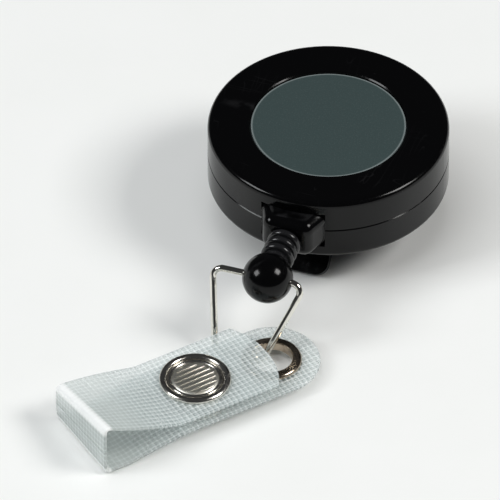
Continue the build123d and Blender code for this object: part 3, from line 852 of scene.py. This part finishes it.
def capProfile():
    # (radius, height) from the outer foot over the rolled ring, its groove and the inner bead to the centre
    steps = cap["arcSteps"]
    foot = cap["ringFoot"]
    points = [(cap["ringMiddle"] + cap["ringWidth"] * cap["ringUnder"], 0.0)]
    for k in range(steps + 1):
        a = math.pi * k / steps
        points.append((cap["ringMiddle"] + cap["ringWidth"] * math.cos(a),
                       foot + (cap["ringHeight"] - foot) * math.sin(a)))
    for k in range(1, steps):
        a = math.pi * k / steps
        points.append((cap["grooveMiddle"] + cap["grooveWidth"] * math.cos(a),
                       foot - cap["grooveDepth"] * math.sin(a)))
    for k in range(steps):
        a = math.pi * k / steps
        points.append((cap["beadMiddle"] + cap["beadWidth"] * math.cos(a),
                       foot + cap["beadHeight"] * math.sin(a)))
    points.append((cap["centreRadius"], cap["centreHeight"]))
    points += [(cap["centreRadius"] * part, cap["centreHeight"]) for part in cap["centreRings"]]
    return points


def makeSnapCap():
    base = inStrap(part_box("snap_cap")[1]).z - cap["ringHeight"]
    bm = bmesh.new()
    rings = []
    turns = [2 * math.pi * k / cap["segments"] for k in range(cap["segments"])]
    for r, z in capProfile():
        rings.append([bm.verts.new((snapX + r * math.cos(a), r * math.sin(a), base + z)) for a in turns])
    skinRings(bm, rings)
    bm.faces.new(rings[-1])
    bm.faces.new(tuple(reversed(rings[0])))
    for face in bm.faces:
        middle = face.calc_center_median()
        reach = math.hypot(middle.x - snapX, middle.y)
        face.material_index = int(reach < cap["centreRadius"] and middle.z > base + cap["ringFoot"] / 2)
    top = base + cap["centreHeight"]
    made = set()
    for index in range(cap["bars"]):
        y = (index - (cap["bars"] - 1) / 2) * cap["pitch"]
        length = 2 * math.sqrt(cap["barReach"] ** 2 - y ** 2)
        verts = bmesh.ops.create_cube(bm, size=1.0)["verts"]
        bmesh.ops.scale(bm, verts=verts, vec=(length, cap["barWidth"], cap["barHeight"]))
        bmesh.ops.translate(bm, verts=verts, vec=(snapX, y, top + cap["barHeight"] * cap["barStand"]))
        made.update(edge for vert in verts for edge in vert.link_edges)
        for face in {face for vert in verts for face in vert.link_faces}:
            face.material_index = 1
    bmesh.ops.bevel(bm, geom=list(made), offset=cap["barRound"], segments=3, affect="EDGES", profile=0.5)
    for face in bm.faces:
        face.smooth = True
    bmesh.ops.transform(bm, matrix=strapFrame, verts=bm.verts)
    piece = newPiece("snapCapFace", bm, nickelPlate)
    piece.data.materials.append(satinNickel)
    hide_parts("snap_cap")
    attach(piece, "flap")


makeSnapCap()
print("snap cap made")

studio = {"azimuth": 17.8, "elevation": 42.3, "distance": 1.582, "lens": 865.0,
          "aim": (-5.06 * mm, -18.17 * mm, -8.0 * mm), "floorHalf": 2.0,
          "air": (0.92, 0.95, 1.0, 1.0), "airStrength": 0.04}
lights = {
    "rightSoftbox": {"place": (0.66, 0.05, 0.66), "size": 0.33, "watts": 4.8, "colour": (1.0, 0.99, 0.97),
                     "shine": True},
    "leftSoftbox": {"place": (-0.62, -0.40, 0.58), "size": 0.32, "watts": 3.4, "colour": (0.96, 0.985, 1.0),
                    "shine": True},
    "overheadPanel": {"place": (-0.35, -0.25, 1.4), "size": 1.3, "watts": 12.0, "colour": (0.98, 0.99, 1.0),
                      "shine": False},
}


def makeFloor():
    bm = bmesh.new()
    bmesh.ops.create_grid(bm, x_segments=8, y_segments=8, size=studio["floorHalf"])
    mesh = bpy.data.meshes.new("paleFloor")
    bm.to_mesh(mesh)
    bm.free()
    floor = bpy.data.objects.new("paleFloor", mesh)
    floor.location = (0, 0, floorZ)
    bpy.context.scene.collection.objects.link(floor)
    mesh.materials.append(makeFloorPaper())


def makeLight(name):
    light = lights[name]
    data = bpy.data.lights.new(name, "AREA")
    data.shape = "RECTANGLE"
    data.size = data.size_y = light["size"]
    data.energy = light["watts"]
    data.color = light["colour"]
    lamp = bpy.data.objects.new(name, data)
    lamp.location = light["place"]
    toAim = Vector(studio["aim"]) - Vector(light["place"])
    lamp.rotation_euler = toAim.to_track_quat("-Z", "Y").to_euler()
    lamp.visible_glossy = light["shine"]
    bpy.context.scene.collection.objects.link(lamp)


def makeCamera():
    a = math.radians(studio["azimuth"])
    e = math.radians(studio["elevation"])
    look = Vector((-math.sin(a) * math.cos(e), math.cos(a) * math.cos(e), -math.sin(e)))
    data = bpy.data.cameras.new("studioCamera")
    data.lens = studio["lens"]
    data.sensor_width = 36.0
    data.clip_start = 0.01
    data.clip_end = 20.0
    camera = bpy.data.objects.new("studioCamera", data)
    camera.location = Vector(studio["aim"]) - look * studio["distance"]
    camera.rotation_euler = look.to_track_quat("-Z", "Y").to_euler()
    bpy.context.scene.collection.objects.link(camera)
    bpy.context.scene.camera = camera


def makeWorld():
    world = bpy.data.worlds.new("studioAir")
    bpy.context.scene.world = world
    world.use_nodes = True
    background = world.node_tree.nodes["Background"]
    background.inputs["Color"].default_value = studio["air"]
    background.inputs["Strength"].default_value = studio["airStrength"]


makeFloor()
for name in lights:
    makeLight(name)
makeWorld()
makeCamera()
bpy.context.scene.view_settings.view_transform = "Standard"
print("studio made")
